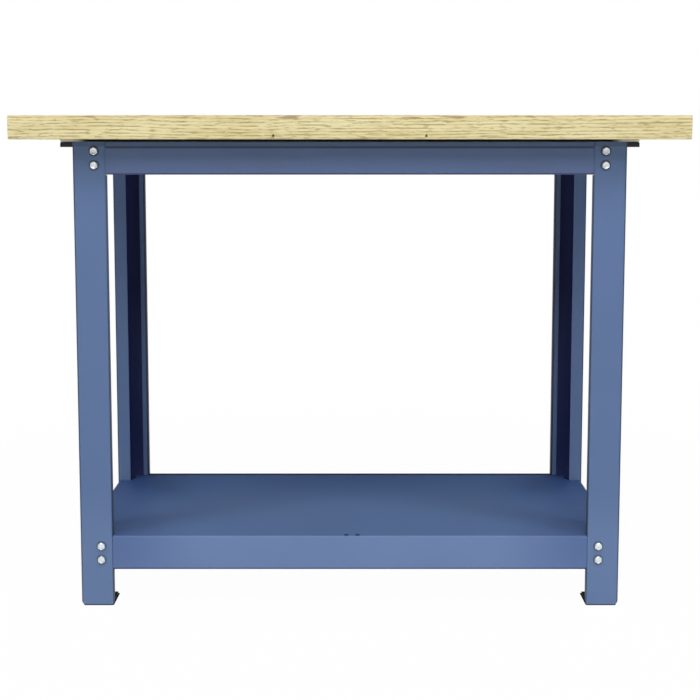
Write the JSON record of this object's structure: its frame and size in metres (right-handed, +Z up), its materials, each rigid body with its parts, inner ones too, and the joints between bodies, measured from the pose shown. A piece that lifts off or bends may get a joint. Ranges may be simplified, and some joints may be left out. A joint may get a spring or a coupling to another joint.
{
  "type": "assembly table",
  "caption": "Workbench with a thick wooden top on a bolted frame of folded steel legs and rails, with a folded steel shelf between the legs.",
  "frame": {"origin": "on the floor, under the middle of the table", "axes": "+X along the table's length to the user's right, +Y to the back, +Z up"},
  "size_m": [1.2, 0.7, 0.9],
  "materials": {
    "solid_wood": "oiled light hardwood, glued staves",
    "blue_powder_coat": "satin powder coat, greyish blue",
    "black_powder_coat": "satin black powder coat",
    "black_plastic": "matt black moulded plastic",
    "black_rubber": "matt black rubber",
    "zinc_plated_steel": "bright zinc plating"
  },
  "bodies": {
    "root": {"worktop": "solid_wood", "leg_front_left": "blue_powder_coat", "leg_front_right": "blue_powder_coat", "leg_rear_left": "blue_powder_coat", "leg_rear_right": "blue_powder_coat", "foot_plate_front_left": "black_plastic", "foot_plate_front_right": "black_plastic", "foot_plate_rear_left": "black_plastic", "foot_plate_rear_right": "black_plastic", "top_rail_front": "blue_powder_coat", "top_rail_rear": "blue_powder_coat", "side_rail_left": "blue_powder_coat", "side_rail_right": "blue_powder_coat", "top_bearer_left": "black_powder_coat", "top_bearer_right": "black_powder_coat", "packing_strip_front": "black_rubber", "packing_strip_rear": "black_rubber", "packing_strip_left": "black_rubber", "packing_strip_right": "black_rubber", "shelf_tray": "blue_powder_coat", "shelf_stiffener": "blue_powder_coat", "rail_bolts": "zinc_plated_steel", "rail_nuts": "zinc_plated_steel", "side_bolts": "zinc_plated_steel", "side_nuts": "zinc_plated_steel", "shelf_bolts": "zinc_plated_steel", "shelf_nuts": "zinc_plated_steel", "bearer_bolts": "zinc_plated_steel", "bearer_nuts": "zinc_plated_steel", "worktop_screws": "zinc_plated_steel"}
  },
  "joints": []
}
